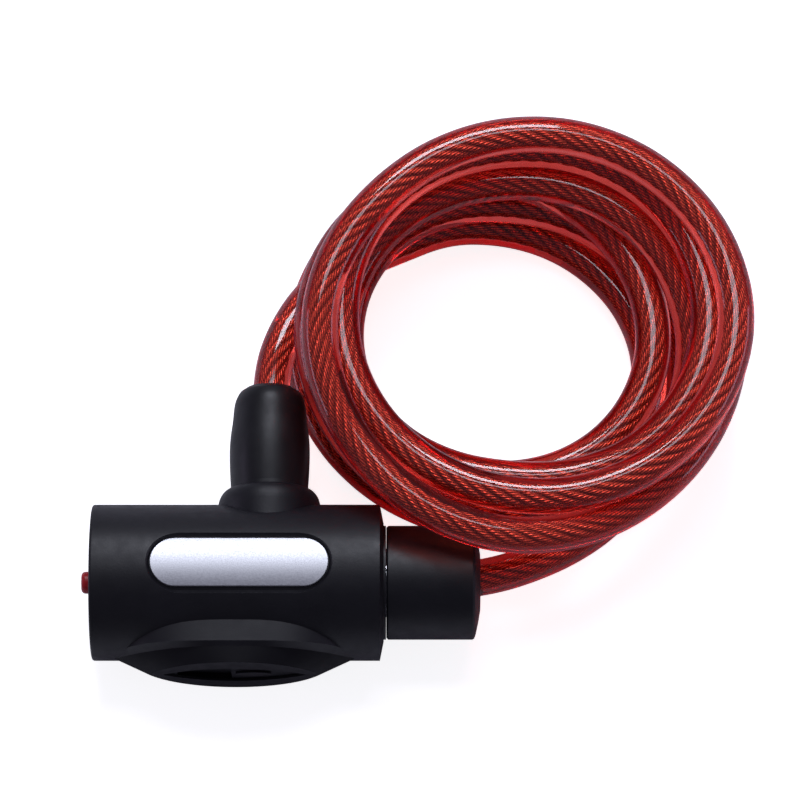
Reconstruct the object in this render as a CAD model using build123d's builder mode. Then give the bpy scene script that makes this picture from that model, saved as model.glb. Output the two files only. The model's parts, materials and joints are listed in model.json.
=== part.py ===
from build123d import *
import os
from math import atan2, cos, degrees, hypot, pi, radians, sin, tan

# A keyed cable lock for luggage: a barrel with a key in its side, a plug that enters
# its right-hand end, and a coiled steel cable in a clear sheath.
# X runs along the barrel towards the plug, +Y to the cable's fixed end, +Z to the name plate.
# The lock lies on its back, so the floor is Z = 0 and the barrel's axis is one radius up.

# --- driving dimensions, millimetres ---
BARREL_RADIUS = 17.0
BARREL_LEFT = 31.1          # barrel centre to its left end
BARREL_RIGHT = 32.8         # barrel centre to the lip round the plug's socket
KEY_FACE = 20.6             # barrel axis to the flat key face
BOOT_TIP = 43.8             # barrel axis to the tip of the cable boot
BUTTON_PROUD = 2.4          # button beyond the barrel's left end
CABLE_DIAMETER = 8.0
PIN_RADIUS = 4.5            # locking pin of the plug
PLUG_RADIUS = 12.4
PLUG_END = 53.3             # barrel centre to the far end of the plug
KEY_X = 8.6                 # key cylinder, from the barrel's centre
BOOT_X = 7.3                # cable boot, from the barrel's centre

# --- travel ---
BUTTON_TRAVEL = 2.0
PLUG_TRAVEL = 26.0
COVER_TRAVEL = 11.5

# --- clearances ---
FIT = 0.05                  # running fit, each side
FREE = 0.3                  # between parts that pass each other
SEAT = 0.1                  # between parts that are fixed together

# --- the frame: the object without its cable stands centred over the origin ---
BARREL_X = (BARREL_LEFT + BUTTON_PROUD - BARREL_RIGHT) / 2
AXIS_Y = (KEY_FACE - BOOT_TIP) / 2
AXIS_Z = BARREL_RADIUS

CABLE_RADIUS = CABLE_DIAMETER / 2


def at(x, y=0.0, z=0.0):
    """A point given from the middle of the barrel's axis."""
    return Vector(BARREL_X + x, AXIS_Y + y, AXIS_Z + z)


def across(x, y=0.0, z=0.0):
    """Plane square to the barrel, looking along +X: its own x is Y, its own y is Z."""
    return Plane(origin=at(x, y, z), x_dir=(0, 1, 0), z_dir=(1, 0, 0))


def keyside(y, x=0.0, z=0.0):
    """Plane square to the key's axis, extruding towards -Y: its own x is X, its own y is Z."""
    return Plane(origin=at(x, y, z), x_dir=(1, 0, 0), z_dir=(0, -1, 0))


def level(z, x=0.0, y=0.0):
    """Level plane at a height from the barrel's axis."""
    return Plane(origin=at(x, y, z))


BARREL_AXIS = Axis(at(0), (1, 0, 0))
BOOT_AXIS = Axis(at(BOOT_X), (0, 1, 0))
KEY_AXIS = Axis(at(KEY_X), (0, 1, 0))


def eye(half_length, half_height):
    """Eye outline: two equal arcs that meet in points."""
    with BuildSketch(Plane.XY, mode=Mode.PRIVATE) as outline:
        with BuildLine():
            ThreePointArc((-half_length, 0), (0, half_height), (half_length, 0))
            ThreePointArc((half_length, 0), (0, -half_height), (-half_length, 0))
        make_face()
    return outline.sketch


def full_eye(half_length, half_height, end_angle):
    """Eye outline with blunter ends, each side one smooth curve."""
    rise = (cos(radians(end_angle)), sin(radians(end_angle)))
    fall = (rise[0], -rise[1])
    with BuildSketch(Plane.XY, mode=Mode.PRIVATE) as outline:
        with BuildLine():
            Spline((-half_length, 0), (0, half_height), (half_length, 0), tangents=(rise, fall))
            Spline((half_length, 0), (0, -half_height), (-half_length, 0),
                   tangents=((-rise[0], -rise[1]), (-rise[0], rise[1])))
        make_face()
    return outline.sketch


def turned(points, plane, axis):
    """Solid of revolution from the corners of its profile."""
    with BuildPart(mode=Mode.PRIVATE) as made:
        with BuildSketch(plane):
            with BuildLine():
                Polyline(*points, close=True)
            make_face()
        revolve(axis=axis)
    return made.part


def rod(plane, radius, length):
    """Plain round bar standing on a plane."""
    with BuildPart(mode=Mode.PRIVATE) as made:
        with BuildSketch(plane):
            Circle(radius)
        extrude(amount=length)
    return made.part


def helical_spring(plane, radius, wire, length, turns):
    """Coil spring standing on a plane, its wire inside the length given."""
    rise = length - 1.2 * wire
    with BuildPart(mode=Mode.PRIVATE) as made:
        with BuildLine() as path:
            Helix(pitch=rise / turns, height=rise, radius=radius, center=plane.offset(0.6 * wire).origin,
                  direction=plane.z_dir)
        with BuildSketch(Plane(origin=path.line @ 0, z_dir=path.line % 0)):
            Circle(wire / 2)
        sweep()
    return made.part


def save(part, label):
    part.label = label
    export_step(part, f"parts/{label}.step")


os.makedirs("parts", exist_ok=True)

# ======================= barrel: moulded jacket =======================
JACKET_BORE = 13.2
END_WALL = 2.1
JACKET_END = 31.5           # the jacket stops here and the end cap's cone begins
CAP_SEAT = 28.0             # the end cap fills the mouth from here
CAP_RADIUS = 15.0
RIM_ROUND = 0.6
KEY_SEAM = BARREL_RADIUS + 0.05     # the key bezel starts here
PAD_HALF = (26.0, 12.6)
PAD_END_ANGLE = 72.0
PAD_SHOULDER = 16.0         # the pad keeps its section out to here, then draws in to the seam
SEAM_HALF = (26.0, 12.1)
BOSS_RADIUS = 11.2
BOSS_SHOULDER = 16.6
BOSS_START = 8.0
BOSS_TOP = 20.4
BOOT_BASE = 8.45
BOSS_LIP = BOOT_BASE + 0.3
BOOT_FLANGE_RADIUS = 9.6
BOOT_FLANGE = (14.2, 16.3)
PLATE_SIZE = (38.4, 10.8)
PLATE_MIDDLE = (1.25, 0.6)
PLATE_RADII = (16.02, 16.6)         # the plate is curved with the barrel
RECESS_RADIUS = 16.0
RECESS_LEVELS = (14.6, 17.5)        # the recess is a slot that widens between these heights
RECESS_SIZES = ((36.8, 11.1), (40.9, 18.1))
BUTTON_RADIUS = 2.4
HOUSING_RADIUS = 5.8
HOUSING_BLOCK = (15.0, 6.2)         # length towards -X from the key's axis, height
HOUSING_INNER = 8.5                 # barrel axis to the housing's inner face


def plate_recess():
    """Room above the name plate's seat, out to the barrel's surface and beyond."""
    with BuildPart(mode=Mode.PRIVATE) as room:
        for height, size in zip(RECESS_LEVELS, RECESS_SIZES):
            with BuildSketch(level(height, *PLATE_MIDDLE)):
                SlotOverall(*size)
        loft()
        add(rod(across(-BARREL_LEFT), RECESS_RADIUS, 2 * BARREL_LEFT), mode=Mode.SUBTRACT)
    return room.part


with BuildPart() as jacket:
    with BuildSketch(across(-BARREL_LEFT)):
        Circle(BARREL_RADIUS)
    extrude(amount=BARREL_LEFT + JACKET_END)
    fillet(jacket.edges().filter_by(GeomType.CIRCLE).sort_by(Axis.X)[0], RIM_ROUND)
    # key pad, a full eye that grows out of the barrel and draws in to the bezel's sharper one
    with BuildSketch(keyside(-10.0)):
        add(full_eye(*PAD_HALF, PAD_END_ANGLE))
    extrude(amount=PAD_SHOULDER - 10.0)
    with BuildSketch(keyside(-PAD_SHOULDER)):
        add(full_eye(*PAD_HALF, PAD_END_ANGLE))
    with BuildSketch(keyside(-KEY_SEAM)):
        add(eye(*SEAM_HALF))
    loft()
    # boss round the cable boot, with a quarter-round shoulder
    with BuildSketch(level(0)):
        with BuildLine():
            Polyline((BOOT_X, BOSS_TOP), (BOOT_X, BOSS_START), (BOOT_X + BOSS_RADIUS, BOSS_START),
                     (BOOT_X + BOSS_RADIUS, BOSS_SHOULDER))
            EllipticalCenterArc((BOOT_X + BOSS_LIP, BOSS_SHOULDER), BOSS_RADIUS - BOSS_LIP,
                                BOSS_TOP - BOSS_SHOULDER, start_angle=0, arc_size=90)
            Line((BOOT_X + BOSS_LIP, BOSS_TOP), (BOOT_X, BOSS_TOP))
        make_face()
    revolve(axis=BOOT_AXIS)
    # bore for the case, and the wider mouth for the end cap
    with BuildSketch(across(-BARREL_LEFT + END_WALL)):
        Circle(JACKET_BORE)
    extrude(amount=2 * BARREL_LEFT, mode=Mode.SUBTRACT)
    with BuildSketch(across(CAP_SEAT)):
        Circle(CAP_RADIUS + SEAT)
    extrude(amount=END_WALL * 2, mode=Mode.SUBTRACT)
    # button hole
    with BuildSketch(across(-BARREL_LEFT)):
        Circle(BUTTON_RADIUS + SEAT)
    extrude(amount=END_WALL, mode=Mode.SUBTRACT)
    # boot passage, with a pocket that traps the boot's flange
    with BuildSketch(keyside(BOSS_TOP + 1, BOOT_X)):
        Circle(BOOT_BASE + SEAT)
    extrude(amount=BOSS_TOP + 1 - 5, mode=Mode.SUBTRACT)
    with BuildSketch(keyside(BOOT_FLANGE[1] + SEAT, BOOT_X)):
        Circle(BOOT_FLANGE_RADIUS + SEAT)
    extrude(amount=BOOT_FLANGE[1] - 5, mode=Mode.SUBTRACT)
    # passage for the key cylinder's housing
    with BuildSketch(keyside(-8, KEY_X)):
        Circle(HOUSING_RADIUS + SEAT)
        with Locations((-HOUSING_BLOCK[0] / 2, 0)):
            Rectangle(HOUSING_BLOCK[0] + 2 * SEAT, HOUSING_BLOCK[1] + 2 * SEAT)
    extrude(amount=KEY_SEAM, mode=Mode.SUBTRACT)
    # name plate's recess, with sloping sides and a floor curved with the barrel
    add(plate_recess(), mode=Mode.SUBTRACT)
save(jacket.part, "outer_jacket")

# ======================= end cap: the plug's socket mouth =======================
SOCKET_RADIUS = 7.5
SOCKET_LEAD = 0.6
CONE_RADIUS = 12.9
CONE_END = 32.3

end_cap = turned(
    [(CAP_SEAT, SOCKET_RADIUS), (CAP_SEAT, CAP_RADIUS), (JACKET_END, CAP_RADIUS),
     (JACKET_END, BARREL_RADIUS - SEAT), (CONE_END, CONE_RADIUS), (CONE_END, PLUG_RADIUS),
     (BARREL_RIGHT, PLUG_RADIUS), (BARREL_RIGHT, SOCKET_RADIUS + SOCKET_LEAD),
     (BARREL_RIGHT - SOCKET_LEAD, SOCKET_RADIUS)],
    level(0), BARREL_AXIS)
save(end_cap, "end_cap")

# ======================= die-cast case, two halves =======================
CASE_RADIUS = 13.0
CASE_ENDS = (-28.7, 27.8)
PIN_TIP = 2.4
PIN_BORE = PIN_RADIUS + FIT * 2
BORE_END = PIN_TIP - 0.6
ROD_RADIUS = 1.3
SPRING_POCKET_RADIUS = 3.4
SPRING_POCKET_END = -20.5
BUSH_RADIUS = 6.2
BUSH_START = 21.8
CLIP_RADIUS = 5.0
POST_RADIUS = 1.2
POST_UNLOCKED = (-4.0, PIN_RADIUS + FREE + POST_RADIUS)     # from the key's axis, along X and Z
POST_LOCKED = (POST_UNLOCKED[1], -POST_UNLOCKED[0])         # a quarter turn later
POST_ORBIT = hypot(*POST_UNLOCKED)
POST_END = 2.6
CAM_ENDS = (-7.9, -6.9)
CAM_RADIUS = 3.4
CAM_ARM = 3.2
GROOVE_RADIUS = POST_LOCKED[1] - POST_RADIUS - 0.2
GROOVE = (KEY_X + 2.9, KEY_X + POST_LOCKED[0] + POST_RADIUS + FREE)
FERRULE_RADIUS = 5.4
FERRULE_ENDS = (6.4, 38.0)
FERRULE_HEAD = 12.0
CROSS_PIN_Y = 9.2
CROSS_PIN_RADIUS = 1.3
CROSS_PIN_HALF = 8.6
RIVET_RADIUS = 1.2
RIVET_SPOTS = [(-24.0, 9.0), (-24.0, -9.0), (24.5, 9.4), (24.5, -9.4)]
RIVET_HALF = 7.4

with BuildPart() as case:
    with BuildSketch(across(CASE_ENDS[0])):
        Circle(CASE_RADIUS)
    extrude(amount=CASE_ENDS[1] - CASE_ENDS[0])
    # locking pin's bore, its bush, and the button's rod and spring
    with BuildSketch(across(BORE_END)):
        Circle(PIN_BORE)
    extrude(amount=BARREL_RIGHT, mode=Mode.SUBTRACT)
    with BuildSketch(across(BUSH_START)):
        Circle(BUSH_RADIUS)
    extrude(amount=BARREL_RIGHT, mode=Mode.SUBTRACT)
    with BuildSketch(across(CASE_ENDS[0])):
        Circle(ROD_RADIUS + SEAT)
    extrude(amount=BORE_END - CASE_ENDS[0], mode=Mode.SUBTRACT)
    with BuildSketch(across(CASE_ENDS[0])):
        Circle(SPRING_POCKET_RADIUS)
    extrude(amount=SPRING_POCKET_END - CASE_ENDS[0], mode=Mode.SUBTRACT)
    # key cylinder's housing, then the clip and cam behind it
    with BuildSketch(keyside(-HOUSING_INNER, KEY_X)):
        Circle(HOUSING_RADIUS)
        with Locations((-HOUSING_BLOCK[0] / 2, 0)):
            Rectangle(HOUSING_BLOCK[0], HOUSING_BLOCK[1])
    extrude(amount=BARREL_RADIUS, mode=Mode.SUBTRACT)
    with BuildSketch(keyside(CAM_ENDS[1] + 2 * SEAT, KEY_X)):
        Circle(POST_ORBIT + CAM_ARM / 2 + FREE)
    extrude(amount=HOUSING_INNER + CAM_ENDS[1] + 2 * SEAT, mode=Mode.SUBTRACT)
    # the latch post's way over the top of the locking pin
    with BuildSketch(keyside(POST_END + FREE, KEY_X)):
        Circle(POST_ORBIT + POST_RADIUS + FREE)
        Circle(POST_ORBIT - POST_RADIUS - FREE, mode=Mode.SUBTRACT)
        with Locations((0, POST_ORBIT + GROOVE_RADIUS)):
            Rectangle(4 * POST_ORBIT, 2 * POST_ORBIT, mode=Mode.INTERSECT)
    extrude(amount=POST_END + FREE - CAM_ENDS[1], mode=Mode.SUBTRACT)
    # anchor for the cable's fixed end, and its cross pin
    with BuildSketch(keyside(CASE_RADIUS + 2, BOOT_X)):
        Circle(FERRULE_RADIUS)
    extrude(amount=CASE_RADIUS + 2 - FERRULE_ENDS[0], mode=Mode.SUBTRACT)
    with BuildSketch(across(BOOT_X - CROSS_PIN_HALF, CROSS_PIN_Y)):
        Circle(CROSS_PIN_RADIUS)
    extrude(amount=2 * CROSS_PIN_HALF, mode=Mode.SUBTRACT)
    # rivet holes
    with BuildSketch(level(-RIVET_HALF)):
        with Locations(*[(x, y) for x, y in RIVET_SPOTS]):
            Circle(RIVET_RADIUS)
    extrude(amount=2 * RIVET_HALF, mode=Mode.SUBTRACT)

for label, keep in (("case_front", Keep.TOP), ("case_back", Keep.BOTTOM)):
    half = split(case.part, bisect_by=level(0), keep=keep)
    save(half, label)

with BuildPart() as rivets:
    with BuildSketch(level(-RIVET_HALF)):
        with Locations(*[(x, y) for x, y in RIVET_SPOTS]):
            Circle(RIVET_RADIUS)
    extrude(amount=2 * RIVET_HALF)
save(rivets.part, "case_rivets")

with BuildPart() as bush:
    with BuildSketch(across(BUSH_START)):
        Circle(BUSH_RADIUS)
        Circle(PIN_BORE, mode=Mode.SUBTRACT)
    extrude(amount=CASE_ENDS[1] - BUSH_START)
    chamfer(bush.edges().filter_by(GeomType.CIRCLE).sort_by(Axis.X)[-1], 0.4)
save(bush.part, "socket_bushing")

# ======================= key cylinder =======================
CORE_RADIUS = 4.0
CORE_FACE = 18.65           # barrel axis to the keyway's face
CORE_INNER = 7.9
CLIP_GROOVE_RADIUS = 3.3
CLIP_ENDS = (8.4, 7.9)
KEYWAY = (6.4, 1.7)
KEYWAY_DEPTH = 9.6
CHAMBER_RADIUS = 1.1
CHAMBER_PITCH = 2.05
CHAMBER_FIRST = -15.85
TUMBLERS = 4
TUMBLER_RADIUS = 1.0
KEY_PIN_ENDS = (3.75, 1.1)
DRIVER_ENDS = (4.15, 7.2)
CHAMBER_END = 13.4
CHAMBER_COVER = (13.4, 14.6)
CHAMBER_COVER_SIZE = (8.4, 2.6)
CAM_ANGLE = degrees(atan2(POST_UNLOCKED[1], POST_UNLOCKED[0]))
chamber_spots = [CHAMBER_FIRST + CHAMBER_PITCH * i for i in range(TUMBLERS)]

with BuildPart() as housing:
    with BuildSketch(keyside(-HOUSING_INNER, KEY_X)):
        Circle(HOUSING_RADIUS)
        with Locations((-HOUSING_BLOCK[0] / 2, 0)):
            Rectangle(HOUSING_BLOCK[0], HOUSING_BLOCK[1])
    extrude(amount=KEY_SEAM - HOUSING_INNER)
    with BuildSketch(keyside(-HOUSING_INNER, KEY_X)):
        Circle(CORE_RADIUS + FIT)
    extrude(amount=BARREL_RADIUS, mode=Mode.SUBTRACT)
    for y in chamber_spots:
        with BuildSketch(across(KEY_X - CHAMBER_END, y)):
            Circle(CHAMBER_RADIUS)
        extrude(amount=CHAMBER_END - 1, mode=Mode.SUBTRACT)
    with BuildSketch(across(KEY_X - HOUSING_BLOCK[0], (chamber_spots[0] + chamber_spots[-1]) / 2)):
        SlotOverall(*CHAMBER_COVER_SIZE)
    extrude(amount=HOUSING_BLOCK[0] - CHAMBER_END, mode=Mode.SUBTRACT)
save(housing.part, "cylinder_housing")

with BuildPart() as chamber_cover:
    with BuildSketch(across(KEY_X - CHAMBER_COVER[1], (chamber_spots[0] + chamber_spots[-1]) / 2)):
        SlotOverall(*CHAMBER_COVER_SIZE)
    extrude(amount=CHAMBER_COVER[1] - CHAMBER_COVER[0])
save(chamber_cover.part, "chamber_cover")

with BuildPart() as core:
    with BuildSketch(keyside(-CORE_INNER, KEY_X)):
        Circle(CORE_RADIUS)
    extrude(amount=CORE_FACE - CORE_INNER)
    with BuildSketch(keyside(-CORE_FACE + KEYWAY_DEPTH, KEY_X)):
        Rectangle(*KEYWAY)
    extrude(amount=KEYWAY_DEPTH, mode=Mode.SUBTRACT)
    with BuildSketch(keyside(-CLIP_ENDS[1], KEY_X)):
        Circle(CORE_RADIUS + 1)
        Circle(CLIP_GROOVE_RADIUS, mode=Mode.SUBTRACT)
    extrude(amount=CLIP_ENDS[0] - CLIP_ENDS[1], mode=Mode.SUBTRACT)
    for y in chamber_spots:
        with BuildSketch(across(KEY_X - CORE_RADIUS - 1, y)):
            Circle(CHAMBER_RADIUS)
        extrude(amount=CORE_RADIUS, mode=Mode.SUBTRACT)
    chamfer(core.edges().filter_by(GeomType.CIRCLE).sort_by(Axis.Y)[0], 0.3)
save(core.part, "key_core")

key_pins = [rod(across(KEY_X - KEY_PIN_ENDS[0], y), TUMBLER_RADIUS, KEY_PIN_ENDS[0] - KEY_PIN_ENDS[1])
            for y in chamber_spots]
save(Compound(key_pins), "key_pins")

driver_pins = [rod(across(KEY_X - DRIVER_ENDS[1], y), TUMBLER_RADIUS, DRIVER_ENDS[1] - DRIVER_ENDS[0])
               for y in chamber_spots]
save(Compound(driver_pins), "driver_pins")

TUMBLER_SPRING_WIRE = 0.22
TUMBLER_SPRING_TURNS = 7
pin_springs = [helical_spring(across(KEY_X - CHAMBER_END, y), 0.85, TUMBLER_SPRING_WIRE,
                              CHAMBER_END - DRIVER_ENDS[1], TUMBLER_SPRING_TURNS)
               for y in chamber_spots]
save(Compound(pin_springs), "pin_springs")

with BuildPart() as core_clip:
    with BuildSketch(keyside(-CLIP_ENDS[1], KEY_X)):
        Circle(CLIP_RADIUS - 0.1)
        Circle(CLIP_GROOVE_RADIUS, mode=Mode.SUBTRACT)
        with Locations((CLIP_RADIUS, 0)):
            Rectangle(CLIP_RADIUS * 2, 4.4, mode=Mode.SUBTRACT)
    extrude(amount=CLIP_ENDS[0] - CLIP_ENDS[1])
save(core_clip.part, "core_clip")

with BuildPart() as tail_cam:
    with BuildSketch(keyside(CAM_ENDS[1], KEY_X)):
        Circle(CAM_RADIUS)
        with Locations(Location((POST_UNLOCKED[0] / 2, POST_UNLOCKED[1] / 2), CAM_ANGLE)):
            SlotCenterToCenter(POST_ORBIT, CAM_ARM)
        with Locations(POST_UNLOCKED):
            Circle(POST_RADIUS, mode=Mode.SUBTRACT)
    extrude(amount=CAM_ENDS[1] - CAM_ENDS[0])
save(tail_cam.part, "tail_cam")

# post that swings over the locking pin and down into its groove as the key turns
save(rod(keyside(POST_END, KEY_X + POST_UNLOCKED[0], POST_UNLOCKED[1]), POST_RADIUS, POST_END - CAM_ENDS[0]),
     "latch_post")

# ======================= name plate =======================
with BuildPart() as plate:
    with BuildSketch(across(-BARREL_LEFT)):
        Circle(PLATE_RADII[1])
        Circle(PLATE_RADII[0], mode=Mode.SUBTRACT)
    extrude(amount=2 * BARREL_LEFT)
    with BuildSketch(level(0, *PLATE_MIDDLE)):
        SlotOverall(*PLATE_SIZE)
    extrude(amount=BARREL_RADIUS, mode=Mode.INTERSECT)
    chamfer(plate.faces().sort_by(Axis.Z)[-1].edges(), 0.12)
save(plate.part, "name_plate")

# ======================= cable boot and the cable's anchor =======================
def from_boot(radius, y):
    """Profile point of a turned part on the boot's axis."""
    return (BOOT_X + radius, y)


BOOT_OUTLINE = [(BOOT_BASE, 21.3), (8.75, 27.0), (8.6, 33.0), (8.1, 37.0), (7.7, 40.5), (6.6, 42.9)]
BOOT_BORE = CABLE_RADIUS + FIT

with BuildPart() as boot:
    with BuildSketch(level(0)):
        with BuildLine():
            Polyline(from_boot(BOOT_BORE, BOOT_TIP - 0.3), from_boot(BOOT_BORE, FERRULE_ENDS[1]),
                     from_boot(FERRULE_RADIUS, FERRULE_ENDS[1]), from_boot(FERRULE_RADIUS, BOOT_FLANGE[0]),
                     from_boot(BOOT_FLANGE_RADIUS, BOOT_FLANGE[0]),
                     from_boot(BOOT_FLANGE_RADIUS, BOOT_FLANGE[1]), from_boot(BOOT_BASE, BOOT_FLANGE[1]),
                     from_boot(*BOOT_OUTLINE[0]))
            Spline(*[from_boot(*p) for p in BOOT_OUTLINE])
            Line(from_boot(*BOOT_OUTLINE[-1]), from_boot(5.4, BOOT_TIP))
            Line(from_boot(5.4, BOOT_TIP), from_boot(4.6, BOOT_TIP))
            Line(from_boot(4.6, BOOT_TIP), from_boot(BOOT_BORE, BOOT_TIP - 0.3))
        make_face()
    revolve(axis=BOOT_AXIS)
save(boot.part, "cable_boot")

with BuildPart() as fixed_ferrule:
    with BuildSketch(keyside(FERRULE_ENDS[1], BOOT_X)):
        Circle(FERRULE_RADIUS)
    extrude(amount=FERRULE_ENDS[1] - FERRULE_ENDS[0])
    with BuildSketch(keyside(FERRULE_ENDS[1], BOOT_X)):
        Circle(2.2)
    extrude(amount=FERRULE_ENDS[1] - FERRULE_HEAD, mode=Mode.SUBTRACT)
    with BuildSketch(across(0, CROSS_PIN_Y)):
        Circle(CROSS_PIN_RADIUS)
    extrude(amount=20, mode=Mode.SUBTRACT)
save(fixed_ferrule.part, "fixed_ferrule")

save(rod(across(BOOT_X - CROSS_PIN_HALF, CROSS_PIN_Y), CROSS_PIN_RADIUS, 2 * CROSS_PIN_HALF), "ferrule_pin")

# ======================= key bezel and the sliding dust cover =======================
WINDOW_HALF = (15.6, 5.6)
FACE_HALF = (18.5, 11.6)
CHANNEL = (18.9, 20.05)             # the cover runs between these distances from the axis
COVER = (18.98, 19.95)
COVER_LEFT = -0.7
COVER_RIGHT = 15.6
COVER_HALF = 6.05
COVER_TAPER = (11.2, 3.1)
GRIP_HALF = (3.85, 1.5)
GRIP_X = 4.1
GRIP_TOP = 20.45
CHANNEL_GAP = 0.25


def cover_outline(gap, left):
    """Dust cover's outline from its left edge, with a gap all round."""
    shoulder = COVER_TAPER[0] + gap / 2
    nose = COVER_TAPER[1] + gap / 2
    with BuildSketch(Plane.XY, mode=Mode.PRIVATE) as outline:
        with BuildLine():
            Polyline((left - gap, -COVER_HALF - gap), (shoulder, -COVER_HALF - gap), (COVER_RIGHT + gap, -nose),
                     (COVER_RIGHT + gap, nose), (shoulder, COVER_HALF + gap), (left - gap, COVER_HALF + gap),
                     close=True)
        make_face()
    return outline.sketch


with BuildPart() as bezel:
    with BuildSketch(keyside(-KEY_SEAM)):
        add(eye(*SEAM_HALF))
    with BuildSketch(keyside(-KEY_FACE)):
        add(eye(*FACE_HALF))
    loft()
    with BuildSketch(keyside(-CHANNEL[0])):
        add(cover_outline(CHANNEL_GAP, COVER_LEFT - COVER_TRAVEL))
    extrude(amount=CHANNEL[1] - CHANNEL[0], mode=Mode.SUBTRACT)
    with BuildSketch(keyside(-CHANNEL[1])):
        add(eye(*WINDOW_HALF))
    extrude(amount=KEY_FACE - CHANNEL[1], mode=Mode.SUBTRACT)
    with BuildSketch(keyside(-KEY_SEAM, KEY_X)):
        Circle(CORE_RADIUS + FIT)
    extrude(amount=CHANNEL[0] - KEY_SEAM, mode=Mode.SUBTRACT)
save(bezel.part, "key_bezel")

with BuildPart() as cover:
    with BuildSketch(keyside(-COVER[0])):
        add(cover_outline(0, COVER_LEFT))
    extrude(amount=COVER[1] - COVER[0])
    with BuildSketch(keyside(-COVER[1], GRIP_X)):
        Ellipse(*GRIP_HALF)
    extrude(amount=GRIP_TOP - COVER[1])
save(cover.part, "dust_cover")

# ======================= button, its rod and spring =======================
BUTTON_FLANGE = (-28.8, -27.6)
BUTTON_FLANGE_RADIUS = 3.1
ROD_TIP = PIN_TIP - BUTTON_TRAVEL - FREE

with BuildPart() as button:
    with BuildSketch(across(-BARREL_LEFT - BUTTON_PROUD)):
        Circle(BUTTON_RADIUS)
    extrude(amount=BARREL_LEFT + BUTTON_PROUD + BUTTON_FLANGE[0])
    fillet(button.edges().filter_by(GeomType.CIRCLE).sort_by(Axis.X)[0], 0.9)
    with BuildSketch(across(BUTTON_FLANGE[0])):
        Circle(BUTTON_FLANGE_RADIUS)
    extrude(amount=BUTTON_FLANGE[1] - BUTTON_FLANGE[0])
save(button.part, "red_button")

save(rod(across(BUTTON_FLANGE[1]), ROD_RADIUS, ROD_TIP - BUTTON_FLANGE[1]), "button_rod")

save(helical_spring(across(BUTTON_FLANGE[1]), 2.3, 0.5, SPRING_POCKET_END - BUTTON_FLANGE[1], 5), "button_spring")

# ======================= plug: shell, locking pin, seal and ferrule =======================
PLUG_START = BARREL_RIGHT + SEAT
PLUG_CHAMFER = 0.4
COLLAR_RADIUS = SOCKET_RADIUS - FIT
COLLAR_START = CAP_SEAT + 0.4
DISC_RADIUS = 9.0
DISC_END = 34.8
SHANK_RADIUS = 5.4
SHANK_END = 38.0
PLUG_FERRULE_END = 46.0
PLUG_FERRULE_RADIUS = 5.2
MOUTH_START = 48.0
MOUTH_RADIUS = 6.2
SEAL_X = 25.6
SEAL_WIRE = 0.55
SEAL_GROOVE_RADIUS = 3.4


plug_cap = turned(
    [(PLUG_START, DISC_RADIUS), (PLUG_START, PLUG_RADIUS - PLUG_CHAMFER),
     (PLUG_START + PLUG_CHAMFER, PLUG_RADIUS), (51.6, PLUG_RADIUS), (52.0, PLUG_RADIUS - 0.25),
     (52.3, PLUG_RADIUS - 1.0), (52.9, 8.6), (PLUG_END, MOUTH_RADIUS),
     (MOUTH_START, BOOT_BORE), (PLUG_FERRULE_END, BOOT_BORE),
     (PLUG_FERRULE_END, PLUG_FERRULE_RADIUS), (SHANK_END, PLUG_FERRULE_RADIUS),
     (SHANK_END, SHANK_RADIUS), (DISC_END, SHANK_RADIUS),
     (DISC_END, DISC_RADIUS)],
    level(0), BARREL_AXIS)
save(plug_cap, "plug_cap")

plug_pin = turned(
    [(PIN_TIP, 0), (PIN_TIP, 2.8), (PIN_TIP + 2.4, PIN_RADIUS),
     (GROOVE[0], PIN_RADIUS), (GROOVE[0], GROOVE_RADIUS),
     (GROOVE[1], GROOVE_RADIUS), (GROOVE[1], PIN_RADIUS),
     (SEAL_X - SEAL_WIRE, PIN_RADIUS), (SEAL_X - SEAL_WIRE, SEAL_GROOVE_RADIUS),
     (SEAL_X + SEAL_WIRE, SEAL_GROOVE_RADIUS), (SEAL_X + SEAL_WIRE, PIN_RADIUS),
     (COLLAR_START, PIN_RADIUS), (COLLAR_START, COLLAR_RADIUS),
     (PLUG_START, COLLAR_RADIUS), (PLUG_START, DISC_RADIUS),
     (DISC_END, DISC_RADIUS), (DISC_END, SHANK_RADIUS),
     (SHANK_END, SHANK_RADIUS), (SHANK_END, 0)],
    level(0), BARREL_AXIS)
save(plug_pin, "plug_pin")

with BuildPart() as plug_seal:
    with BuildSketch(level(0)):
        with Locations((SEAL_X, SEAL_GROOVE_RADIUS + SEAL_WIRE)):
            Circle(SEAL_WIRE)
    revolve(axis=BARREL_AXIS)
save(plug_seal.part, "plug_seal")

with BuildPart() as plug_ferrule:
    with BuildSketch(across(SHANK_END)):
        Circle(PLUG_FERRULE_RADIUS)
    extrude(amount=PLUG_FERRULE_END - SHANK_END)
    with BuildSketch(across(SHANK_END + 2)):
        Circle(2.2)
    extrude(amount=PLUG_FERRULE_END - SHANK_END, mode=Mode.SUBTRACT)
save(plug_ferrule.part, "plug_ferrule")

# ======================= cable: two free stretches and the coil between them =======================
COIL_CENTRE = (60.0, 55.0)
COIL_RADIUS = 40.0
COIL_WIDTH = 26.0
COIL_HEIGHT = 42.0
COIL_ROUND = 11.5
PLUG_PATH_RADIUS = PLUG_RADIUS + 0.6
SHORTEST_RUN_SHARE = 0.45

# cable points, from the middle of the barrel's axis, with Z from the floor
PLUG_END_ROUTE = [(46.0, 0.0, 17.0), (56.0, 0.0, 17.0), (68.0, 2.5, 16.8), (79.0, 8.2, 15.6), (88.5, 15.7, 13.8)]
FIXED_END_ROUTE = [(7.3, 38.0, 17.0), (7.3, 50.0, 17.0), (10.4, 62.0, 16.0), (16.6, 72.5, 13.8)]


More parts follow.
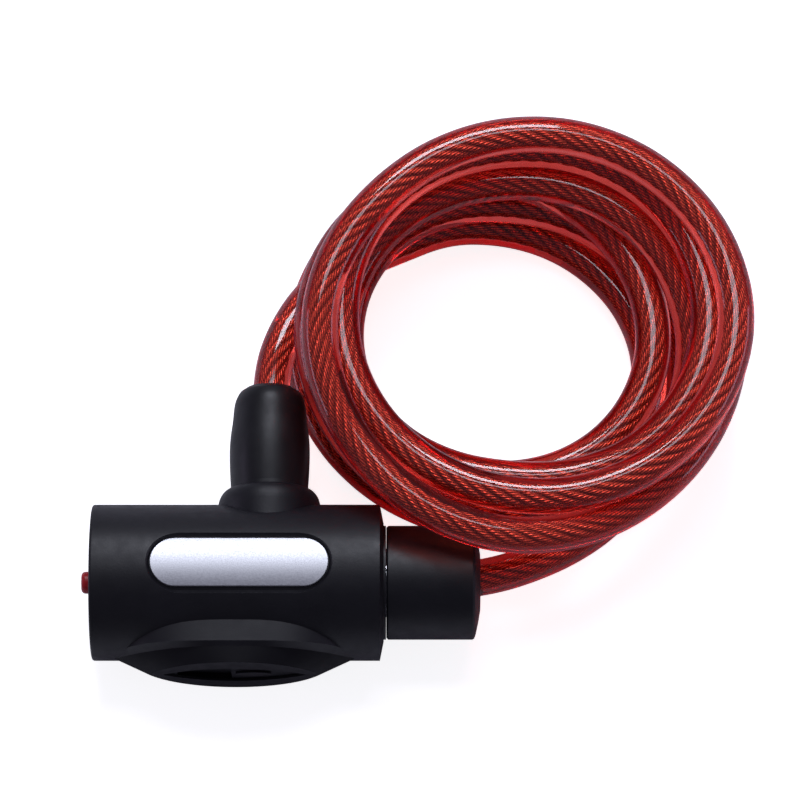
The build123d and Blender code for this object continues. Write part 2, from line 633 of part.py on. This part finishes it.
def free_cable(points):
    """Round cable along straight runs joined by arcs as wide as the runs allow."""
    route = [at(x, y, z - AXIS_Z) for x, y, z in points]
    runs = [b - a for a, b in zip(route, route[1:])]
    radii = []
    for before, after in zip(runs, runs[1:]):
        turn = before.get_angle(after)
        shorter = min(before.length, after.length)
        radii.append(SHORTEST_RUN_SHARE * shorter / tan(radians(turn / 2)))
    print("bend radii", [round(r, 1) for r in radii])
    with BuildPart(mode=Mode.PRIVATE) as made:
        with BuildLine() as path:
            FilletPolyline(*route, radius=radii)
        with BuildSketch(Plane(origin=path.line @ 0, z_dir=path.line % 0)):
            Circle(CABLE_RADIUS)
        sweep()
    length = path.wires()[0].length
    print("length", round(length, 1), "volume ratio",
          round(made.part.volume / (length * pi * CABLE_RADIUS**2), 4))
    return made.part


save(free_cable(PLUG_END_ROUTE), "cable_plug_end")
save(free_cable(FIXED_END_ROUTE), "cable_fixed_end")

with BuildPart() as coil:
    with BuildSketch(Plane(at(*COIL_CENTRE, -AXIS_Z), x_dir=(1, 0, 0), z_dir=(0, -1, 0))):
        with Locations((COIL_RADIUS, COIL_HEIGHT / 2)):
            RectangleRounded(COIL_WIDTH, COIL_HEIGHT, COIL_ROUND)
    revolve(axis=Axis(at(*COIL_CENTRE), (0, 0, 1)))
    add(rod(across(0), PLUG_PATH_RADIUS, PLUG_END + PLUG_TRAVEL + 1), mode=Mode.SUBTRACT)
    add(rod(across(-BARREL_LEFT), BARREL_RADIUS + FREE, BARREL_LEFT + BARREL_RIGHT + FREE), mode=Mode.SUBTRACT)
    add(rod(keyside(BOOT_TIP + 1, BOOT_X), BOOT_BASE + 1, BOOT_TIP), mode=Mode.SUBTRACT)
save(coil.part, "cable_coil")
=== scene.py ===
import bpy
import json
from math import cos, pi, radians, sin, tau
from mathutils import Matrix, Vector


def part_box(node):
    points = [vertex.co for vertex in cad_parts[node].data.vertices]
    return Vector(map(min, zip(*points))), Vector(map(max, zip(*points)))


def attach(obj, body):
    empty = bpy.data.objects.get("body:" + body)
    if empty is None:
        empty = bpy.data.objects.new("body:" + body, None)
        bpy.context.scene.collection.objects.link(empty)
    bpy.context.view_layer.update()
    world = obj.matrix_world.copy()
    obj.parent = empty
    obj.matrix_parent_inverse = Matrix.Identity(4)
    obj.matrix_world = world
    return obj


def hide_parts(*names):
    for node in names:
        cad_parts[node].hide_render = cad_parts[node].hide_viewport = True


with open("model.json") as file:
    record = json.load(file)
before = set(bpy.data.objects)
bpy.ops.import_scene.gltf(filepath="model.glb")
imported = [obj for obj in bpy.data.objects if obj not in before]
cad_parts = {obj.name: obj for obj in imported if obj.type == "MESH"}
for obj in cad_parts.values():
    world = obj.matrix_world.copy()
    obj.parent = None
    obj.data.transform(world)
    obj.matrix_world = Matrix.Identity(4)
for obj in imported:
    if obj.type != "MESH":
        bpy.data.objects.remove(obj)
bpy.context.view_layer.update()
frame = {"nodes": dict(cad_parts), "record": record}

# --- the barrel's own frame: the plug is on its axis, and the boot stands a little to its right ---
MM = 0.001
boot_low, boot_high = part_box("cable_boot")
cap_low, cap_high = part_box("plug_cap")
AXIS_Y = (cap_low.y + cap_high.y) / 2
AXIS_HEIGHT = 17.0          # mm above the floor
BOOT_X = 7.3                # mm from the barrel's middle
BARREL_X = (boot_low.x + boot_high.x) / 2 - BOOT_X * MM


def place(x, y, z):
    """A point in metres from millimetres along the barrel, across it and above the floor."""
    return Vector((BARREL_X + x * MM, AXIS_Y + y * MM, z * MM))


# --- camera: it looks down on the plate, a little towards the key face ---
VIEW_TILT = radians(73.5)
VIEW_ANGLE = radians(8.65)
FRAME_WIDTH = 0.176
VIEW_TARGET = place(35.86, 41.5, AXIS_HEIGHT)

camera_data = bpy.data.cameras.new("camera")
camera_data.angle = VIEW_ANGLE
camera_data.clip_end = 20
camera = bpy.data.objects.new("camera", camera_data)
bpy.context.scene.collection.objects.link(camera)
distance = FRAME_WIDTH / 2 / sin(VIEW_ANGLE / 2) * cos(VIEW_ANGLE / 2)
towards = Vector((0, -cos(VIEW_TILT), sin(VIEW_TILT)))
camera.location = VIEW_TARGET + towards * distance
camera.rotation_euler = towards.to_track_quat("Z", "Y").to_euler()
bpy.context.scene.camera = camera

# --- cable: a route from the boot, round the coil and into the plug ---
CABLE_DIAMETER = 8 * MM
COIL_MIDDLE = (59.0, 55.0)
BOOT_END = [(BOOT_X, 38.0, AXIS_HEIGHT), (7.4, 47.0, AXIS_HEIGHT), (10.0, 56.5, 15.8), (15.2, 66.0, 13.2),
            (22.8, 74.2, 9.8)]
PLUG_END = [(82.0, 14.8, 15.6), (72.2, 7.8, 16.0), (61.8, 3.2, 16.8), (53.5, 1.0, AXIS_HEIGHT),
            (46.0, 0.0, AXIS_HEIGHT)]
# turns from the boot, each as distances from the coil's middle and heights,
# at the back left, back, back right, right, front right, front, front left and left
TURNS = [
    ((35.0, 30.2, 29.2, 32.0, 35.8, 38.4, 40.4, 42.6), (5.3, 4.1, 4.1, 6.2, 10.0, 13.0, 16.6, 20.7)),
    ((42.0, 37.2, 34.0, 32.8, 31.8, 31.2, 32.5, 35.2), (19.8, 18.3, 16.9, 16.4, 16.8, 16.2, 14.6, 15.9)),
    ((35.3, 33.6, 35.4, 39.9, 41.0, 38.0, 40.4, 45.0), (15.0, 10.8, 8.9, 6.2, 4.1, 4.1, 4.1, 4.1)),
    ((45.0, 43.5, 50.5, 49.5, 49.0, 49.0, 43.5, 40.5), (4.5, 10.5, 15.5, 22.0, 27.0, 34.5, 35.5, 39.0)),
    ((37.5, 40.5, 46.5, 50.3, 46.0, 39.5, 36.0, 36.0), (39.5, 38.0, 36.0, 35.0, 35.0, 34.0, 32.5, 32.5)),
    ((38.0, 40.0, 44.3, 44.6, 40.2, 33.4, 34.2, 36.0), (31.5, 30.0, 28.7, 28.7, 27.7, 25.2, 24.0, 24.4)),
    ((35.2, 33.9, 37.8, 41.6, 42.0), (24.0, 25.6, 24.4, 20.0, 18.2)),
]
FIRST_ANGLE = 135.0
STATION_STEP = 45.0
SPLINE_SHRINK = 0.981       # a spline of order 3 runs this much inside points half a step apart


def between(values, i):
    """Value midway between station i and the next, on the cubic through them and their neighbours."""
    a, b = values[max(i - 1, 0)], values[min(i + 2, len(values) - 1)]
    return (9 * (values[i] + values[i + 1]) - a - b) / 16


def coil_points():
    """Points of the coil every half step, clockwise seen from above."""
    reach = [r for radii, heights in TURNS for r in radii]
    height = [h for radii, heights in TURNS for h in heights]
    points = []
    for k in range(2 * len(reach) - 1):
        i = k // 2
        r = (reach[i] if k % 2 == 0 else between(reach, i)) / SPLINE_SHRINK
        h = height[i] if k % 2 == 0 else between(height, i)
        a = radians(FIRST_ANGLE - STATION_STEP * k / 2)
        points.append((COIL_MIDDLE[0] + r * cos(a), COIL_MIDDLE[1] + r * sin(a), h))
    return points


def route_curve(name, points):
    """Smooth curve with the points as its control points."""
    data = bpy.data.curves.new(name, "CURVE")
    data.dimensions = "3D"
    spline = data.splines.new("NURBS")
    spline.points.add(len(points) - 1)
    for p, q in zip(spline.points, points):
        p.co = (*place(*q), 1)
    spline.order_u = 3
    spline.use_endpoint_u = True
    spline.resolution_u = 8
    return data


route = route_curve("cable_route", BOOT_END + coil_points() + PLUG_END)
route_object = bpy.data.objects.new("cable_route", route)
bpy.context.scene.collection.objects.link(route_object)
bpy.context.view_layer.update()
line_mesh = bpy.data.meshes.new_from_object(route_object)
line = [v.co.copy() for v in line_mesh.vertices]
bpy.data.objects.remove(route_object)


def frames_along(points):
    """Points with a side and an up direction that don't twist from one to the next."""
    made = []
    side = None
    for i, p in enumerate(points):
        ahead = (points[min(i + 1, len(points) - 1)] - points[max(i - 1, 0)]).normalized()
        if side is None:
            side = ahead.orthogonal().normalized()
        side = (side - ahead * side.dot(ahead)).normalized()
        made.append((p, ahead, side, ahead.cross(side)))
    return made


def evenly(points, gap):
    """The same line with points an even gap apart."""
    lengths = [0.0]
    for a, b in zip(points, points[1:]):
        lengths.append(lengths[-1] + (b - a).length)
    count = max(2, round(lengths[-1] / gap))
    out = []
    i = 0
    for k in range(count + 1):
        s = lengths[-1] * k / count
        while i < len(points) - 2 and lengths[i + 1] < s:
            i += 1
        share = (s - lengths[i]) / max(lengths[i + 1] - lengths[i], 1e-9)
        out.append(points[i].lerp(points[i + 1], min(max(share, 0), 1)))
    return out


def tube_mesh(name, path, radius, sides):
    """Round tube about a line of frames, closed at both ends."""
    verts, faces = [], []
    for p, ahead, side, up in path:
        for k in range(sides):
            a = tau * k / sides
            verts.append(p + (side * cos(a) + up * sin(a)) * radius)
    for i in range(len(path) - 1):
        for k in range(sides):
            a, b = i * sides + k, i * sides + (k + 1) % sides
            faces.append((a, b, b + sides, a + sides))
    faces.append(tuple(range(sides - 1, -1, -1)))
    last = (len(path) - 1) * sides
    faces.append(tuple(range(last, last + sides)))
    mesh = bpy.data.meshes.new(name)
    mesh.from_pydata(verts, [], faces)
    mesh.polygons.foreach_set("use_smooth", [True] * len(mesh.polygons))
    mesh.update()
    return mesh


def add_piece(name, mesh, material, body):
    """New object made of a mesh and one material, riding on a CAD body."""
    piece = bpy.data.objects.new(name, mesh)
    bpy.context.scene.collection.objects.link(piece)
    mesh.materials.append(material)
    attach(piece, body)
    return piece


# --- materials ---
NOISE_RANGE = (0.3, 0.7)    # where nearly all of a noise's values lie


def material(name):
    """Empty node material with its Principled shader."""
    made = bpy.data.materials.new(name)
    made.use_nodes = True
    return made, made.node_tree, made.node_tree.nodes["Principled BSDF"]


def node(tree, kind):
    """New node of a material's tree."""
    return tree.nodes.new(kind)


def noise(tree, scale, detail=2.0, rough=0.5, stretch=None):
    """Noise over the object's own coordinates."""
    coords = node(tree, "ShaderNodeTexCoord")
    out = node(tree, "ShaderNodeTexNoise")
    out.inputs["Scale"].default_value = scale
    out.inputs["Detail"].default_value = detail
    out.inputs["Roughness"].default_value = rough
    source = coords.outputs["Object"]
    if stretch:
        mapping = node(tree, "ShaderNodeMapping")
        mapping.inputs["Scale"].default_value = stretch
        tree.links.new(source, mapping.inputs["Vector"])
        source = mapping.outputs["Vector"]
    tree.links.new(source, out.inputs["Vector"])
    return out.outputs["Fac"]


def ramp(tree, source, low, high, start=NOISE_RANGE[0], end=NOISE_RANGE[1]):
    """Colour from one value to another as the source rises."""
    out = node(tree, "ShaderNodeValToRGB")
    out.color_ramp.elements[0].position = start
    out.color_ramp.elements[1].position = end
    out.color_ramp.elements[0].color = (*low, 1)
    out.color_ramp.elements[1].color = (*high, 1)
    tree.links.new(source, out.inputs["Fac"])
    return out.outputs["Color"]


def level(tree, source, low, high):
    """Number from one value to another as the source rises."""
    out = node(tree, "ShaderNodeMapRange")
    out.inputs["From Min"].default_value = NOISE_RANGE[0]
    out.inputs["From Max"].default_value = NOISE_RANGE[1]
    out.inputs["To Min"].default_value = low
    out.inputs["To Max"].default_value = high
    tree.links.new(source, out.inputs["Value"])
    return out.outputs["Result"]


def bump(tree, source, shader, height, strength=1.0):
    """Relief of a height in metres on a shader."""
    out = node(tree, "ShaderNodeBump")
    out.inputs["Strength"].default_value = strength
    out.inputs["Distance"].default_value = height
    tree.links.new(source, out.inputs["Height"])
    tree.links.new(out.outputs["Normal"], shader.inputs["Normal"])


def moulded(name, dark, light, rough, grain=0.00004, scale=2600, shine=0.36):
    """Moulded plastic: fine spark-eroded grain, slight cloudiness in colour and gloss."""
    made, tree, shader = material(name)
    cloud = noise(tree, 90, 3)
    tree.links.new(ramp(tree, cloud, dark, light), shader.inputs["Base Color"])
    tree.links.new(level(tree, noise(tree, 350, 2), rough - 0.04, rough + 0.05), shader.inputs["Roughness"])
    shader.inputs["Specular IOR Level"].default_value = shine
    bump(tree, noise(tree, scale, 3, 0.6), shader, grain, 0.5)
    return made


def metal(name, dark, light, rough, stretch=(1, 1, 1), scale=900):
    """Bare metal with drawn or turned streaks."""
    made, tree, shader = material(name)
    streak = noise(tree, scale, 3, 0.6, stretch)
    tree.links.new(ramp(tree, streak, dark, light), shader.inputs["Base Color"])
    tree.links.new(level(tree, streak, rough - 0.05, rough + 0.08), shader.inputs["Roughness"])
    shader.inputs["Metallic"].default_value = 1.0
    bump(tree, streak, shader, 0.00001, 0.3)
    return made


black = moulded("black_abs", (0.0050, 0.0048, 0.0072), (0.0078, 0.0074, 0.0108), 0.47)
soft_black = moulded("black_boot", (0.0050, 0.0048, 0.0062), (0.0080, 0.0076, 0.0095), 0.44,
                     grain=0.00003, scale=1800)
# darker copy of the black plastic for the key face: painted shade, as this face turns away from the key
# light
shaded_face_black = moulded("black_face", (0.0034, 0.0032, 0.0048), (0.0052, 0.0050, 0.0072), 0.55, shine=0.2)
red = moulded("red_button", (0.42, 0.012, 0.016), (0.55, 0.022, 0.026), 0.34)
steel = metal("plated_steel", (0.50, 0.50, 0.52), (0.66, 0.66, 0.68), 0.3, stretch=(0.2, 1, 1))
bright = metal("bright_steel", (0.62, 0.62, 0.64), (0.74, 0.74, 0.76), 0.16, stretch=(0.2, 1, 1))
zinc = metal("zinc_casting", (0.42, 0.42, 0.44), (0.55, 0.55, 0.57), 0.45)
brass = metal("machined_brass", (0.58, 0.42, 0.16), (0.74, 0.56, 0.26), 0.28, stretch=(1, 0.2, 1))
plate_metal = metal("satin_plate", (0.58, 0.59, 0.62), (0.68, 0.69, 0.72), 0.50, scale=2500)
rubber = moulded("seal_rubber", (0.012, 0.012, 0.012), (0.02, 0.02, 0.02), 0.6)
wire = metal("spring_wire", (0.42, 0.42, 0.44), (0.58, 0.58, 0.60), 0.3)

finishes = {
    "satin_black": black, "soft_black": soft_black, "zinc_casting": zinc, "steel": steel,
    "bright_steel": bright, "spring_wire": wire, "brass": brass, "plate_metal": plate_metal,
    "red_plastic": red, "seal_rubber": rubber, "cable_sheath": soft_black,
}
slot_of = {s["node"]: s["material_slot"] for s in frame["record"]["subparts"]}
# parts of the key face that get the darker copy of the black plastic as painted shade
FACE_NODES = ("key_bezel", "dust_cover")
for name, shown in frame["nodes"].items():
    for slot in shown.material_slots:
        slot.material = shaded_face_black if name in FACE_NODES else finishes[slot_of[name]]


# --- the cable's clear sheath and the steel rope inside it ---
SHEATH_DARK = (0.78, 0.070, 0.052)
SHEATH_LIGHT = (0.88, 0.095, 0.070)


def clear_sheath():
    """Clear red PVC: dark red glass that lets light through to the wires."""
    made, tree, shader = material("clear_sheath")
    cloud = noise(tree, 60, 2)
    tree.links.new(ramp(tree, cloud, SHEATH_DARK, SHEATH_LIGHT), shader.inputs["Base Color"])
    tree.links.new(level(tree, noise(tree, 120, 2), 0.04, 0.10), shader.inputs["Roughness"])
    shader.inputs["IOR"].default_value = 1.5
    shader.inputs["Transmission Weight"].default_value = 0.95
    shader.inputs["Sheen Weight"].default_value = 0.22
    shader.inputs["Sheen Roughness"].default_value = 0.35
    shader.inputs["Sheen Tint"].default_value = (0.62, 0.20, 0.50, 1)
    through = node(tree, "ShaderNodeBsdfTransparent")
    through.inputs["Color"].default_value = (0.94, 0.34, 0.24, 1)
    paths = node(tree, "ShaderNodeLightPath")
    mix = node(tree, "ShaderNodeMixShader")
    tree.links.new(paths.outputs["Is Shadow Ray"], mix.inputs["Fac"])
    tree.links.new(shader.outputs["BSDF"], mix.inputs[1])
    tree.links.new(through.outputs["BSDF"], mix.inputs[2])
    tree.links.new(mix.outputs["Shader"], tree.nodes["Material Output"].inputs["Surface"])
    return made


RIDGE_EDGE = 0.35           # how far out a strand's surface is where the painted shade between strands begins
# share of the wire colour left in the painted shade between strands
GAP_SHADE = 0.45


def rope_wire():
    """Galvanised wires laid into strands, with painted light and shade in the colour: bright crowns,
    painted shade in the gaps between wires and between strands.
    """
    made, tree, shader = material("rope_wire")
    lay = node(tree, "ShaderNodeUVMap")
    lay.uv_map = "lay"
    parts = node(tree, "ShaderNodeSeparateXYZ")
    tree.links.new(lay.outputs["UV"], parts.inputs["Vector"])
    wave = node(tree, "ShaderNodeMath")
    wave.operation = "SINE"
    tree.links.new(parts.outputs["X"], wave.inputs[0])
    crown = node(tree, "ShaderNodeMapRange")
    crown.inputs["From Min"].default_value = -1.0
    tree.links.new(wave.outputs["Value"], crown.inputs["Value"])
    # painted shade between strands: the colour darkens where a strand's surface turns in towards its
    # neighbours
    strand_gap_shade = node(tree, "ShaderNodeMapRange")
    strand_gap_shade.inputs["From Min"].default_value = RIDGE_EDGE
    strand_gap_shade.inputs["To Min"].default_value = GAP_SHADE
    tree.links.new(parts.outputs["Y"], strand_gap_shade.inputs["Value"])
    wire_light_and_shade = node(tree, "ShaderNodeMath")
    wire_light_and_shade.operation = "MULTIPLY"
    tree.links.new(crown.outputs["Result"], wire_light_and_shade.inputs[0])
    tree.links.new(strand_gap_shade.outputs["Result"], wire_light_and_shade.inputs[1])
    # wire colour from dark painted shade in the gaps between wires up to painted light on their crowns
    tree.links.new(ramp(tree, wire_light_and_shade.outputs["Value"], (0.22, 0.095, 0.105), (1.0, 0.86, 0.62), 0.12, 0.66),
                   shader.inputs["Base Color"])
    tree.links.new(level(tree, noise(tree, 1500, 2), 0.22, 0.36), shader.inputs["Roughness"])
    shader.inputs["Metallic"].default_value = 0.72
    bump(tree, crown.outputs["Result"], shader, 0.00010, 1.0)
    return made


SHEATH_GAP = 1.6 * MM       # between the rings of its mesh
SHEATH_SIDES = 36
path_points = evenly(line, SHEATH_GAP)
path = frames_along(path_points)
sheath = add_piece("cable_sheath", tube_mesh("cable_sheath", path, CABLE_DIAMETER / 2, SHEATH_SIDES),
                   clear_sheath(), "lock_body")
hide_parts("cable_coil", "cable_fixed_end", "cable_plug_end")

# rope: strands laid round the rope's middle, each of them a bundle of wires laid the other way
ROPE_DIAMETER = 3.6 * MM
STRANDS = 6
STRAND_SQUEEZE = 1.06       # strands a little larger than round ones that just touch
STRAND_LAY = 24 * MM
STRAND_SIDES = 12
WIRES = 8
WIRE_LAY = 6.4 * MM
WIRE_GAP = 0.8 * MM         # between the rings of a strand's mesh
rope_path = frames_along(evenly(line, WIRE_GAP))


def rope_strand(k):
    """One strand as a tube, each corner of its faces marked with its wires' phase and how far out it is."""
    radius = ROPE_DIAMETER / 2 / (1 + sin(pi / STRANDS)) * sin(pi / STRANDS) * STRAND_SQUEEZE
    orbit = ROPE_DIAMETER / 2 - radius
    verts, faces, marks = [], [], []
    for i, (p, ahead, side, up) in enumerate(rope_path):
        turn = tau * (k / STRANDS + i * WIRE_GAP / STRAND_LAY)
        out = side * cos(turn) + up * sin(turn)
        along = (ahead + (up * cos(turn) - side * sin(turn)) * (orbit * tau / STRAND_LAY)).normalized()
        across = along.cross(out).normalized()
        for j in range(STRAND_SIDES):
            a = tau * j / STRAND_SIDES
            verts.append(p + out * orbit + (out * cos(a) + across * sin(a)) * radius)
    for i in range(len(rope_path) - 1):
        for j in range(STRAND_SIDES):
            a, b = i * STRAND_SIDES + j, i * STRAND_SIDES + (j + 1) % STRAND_SIDES
            faces.append((a, b, b + STRAND_SIDES, a + STRAND_SIDES))
            for di, dj in ((0, 0), (0, 1), (1, 1), (1, 0)):
                round_share = (j + dj) / STRAND_SIDES
                phase = tau * WIRES * (round_share + (i + di) * WIRE_GAP / WIRE_LAY)
                marks += [phase, cos(tau * round_share)]
    return verts, faces, marks


rope_verts, rope_faces, rope_marks = [], [], []
for k in range(STRANDS):
    verts, faces, marks = rope_strand(k)
    rope_faces += [tuple(i + len(rope_verts) for i in f) for f in faces]
    rope_verts += verts
    rope_marks += marks
rope_mesh = bpy.data.meshes.new("cable_rope")
rope_mesh.from_pydata(rope_verts, [], rope_faces)
rope_mesh.polygons.foreach_set("use_smooth", [True] * len(rope_mesh.polygons))
lay_map = rope_mesh.uv_layers.new(name="lay")
lay_map.data.foreach_set("uv", rope_marks)
rope = add_piece("cable_rope", rope_mesh, rope_wire(), "lock_body")

# --- stage: pale floor and soft studio light ---
FLOOR_SIZE = 4.0
FLOOR_GLOW = 0.85
KEY_POWER = 3.6
TOP_POWER = 1.1
RIM_POWER = 0.5
floor_mesh = bpy.data.meshes.new("floor")
half = FLOOR_SIZE / 2
floor_corners = [(-half, -half, 0), (half, -half, 0), (half, half, 0), (-half, half, 0)]
floor_mesh.from_pydata(floor_corners, [], [(0, 1, 2, 3)])
floor = bpy.data.objects.new("floor", floor_mesh)
bpy.context.scene.collection.objects.link(floor)
floor_material, floor_tree, floor_shader = material("floor_white")
floor_tree.links.new(ramp(floor_tree, noise(floor_tree, 3, 2), (0.84, 0.84, 0.88), (0.88, 0.88, 0.92)),
                     floor_shader.inputs["Base Color"])
floor_shader.inputs["Roughness"].default_value = 0.9
floor_shader.inputs["Specular IOR Level"].default_value = 0.1
# lit from below for the camera only, as a light table under the product is
glow = node(floor_tree, "ShaderNodeEmission")
glow.inputs["Strength"].default_value = FLOOR_GLOW
whole = node(floor_tree, "ShaderNodeAddShader")
seen = node(floor_tree, "ShaderNodeLightPath")
pick = node(floor_tree, "ShaderNodeMixShader")
floor_tree.links.new(floor_shader.outputs["BSDF"], whole.inputs[0])
floor_tree.links.new(glow.outputs["Emission"], whole.inputs[1])
floor_tree.links.new(seen.outputs["Is Camera Ray"], pick.inputs["Fac"])
floor_tree.links.new(floor_shader.outputs["BSDF"], pick.inputs[1])
floor_tree.links.new(whole.outputs["Shader"], pick.inputs[2])
floor_tree.links.new(pick.outputs["Shader"], floor_tree.nodes["Material Output"].inputs["Surface"])
floor_mesh.materials.append(floor_material)

world = bpy.data.worlds.new("studio")
world.use_nodes = True
world.node_tree.nodes["Background"].inputs["Color"].default_value = (0.92, 0.90, 1.20, 1)
world.node_tree.nodes["Background"].inputs["Strength"].default_value = 0.13
bpy.context.scene.world = world


def softbox(name, azimuth, elevation, away, size, power, colour=(0.93, 0.96, 1.08)):
    """Rectangular lamp aimed at the view's middle, azimuth 0 in front and 90 to the right."""
    data = bpy.data.lights.new(name, "AREA")
    data.shape = "RECTANGLE"
    data.size, data.size_y = size
    data.energy = power
    data.color = colour
    lamp = bpy.data.objects.new(name, data)
    a, e = radians(azimuth), radians(elevation)
    direction = Vector((cos(e) * sin(a), -cos(e) * cos(a), sin(e)))
    lamp.location = VIEW_TARGET + direction * away
    lamp.rotation_euler = direction.to_track_quat("Z", "Y").to_euler()
    bpy.context.scene.collection.objects.link(lamp)


softbox("key_light", azimuth=180, elevation=50, away=0.9, size=(0.34, 0.24), power=KEY_POWER)
softbox("top_light", azimuth=180, elevation=73, away=0.9, size=(0.48, 0.14), power=TOP_POWER)
for side in (-90, 90):
    softbox("rim_light", azimuth=side, elevation=10, away=0.8, size=(0.5, 0.16), power=RIM_POWER,
            colour=(0.92, 0.82, 1.15))

bpy.context.scene.view_settings.view_transform = "Standard"
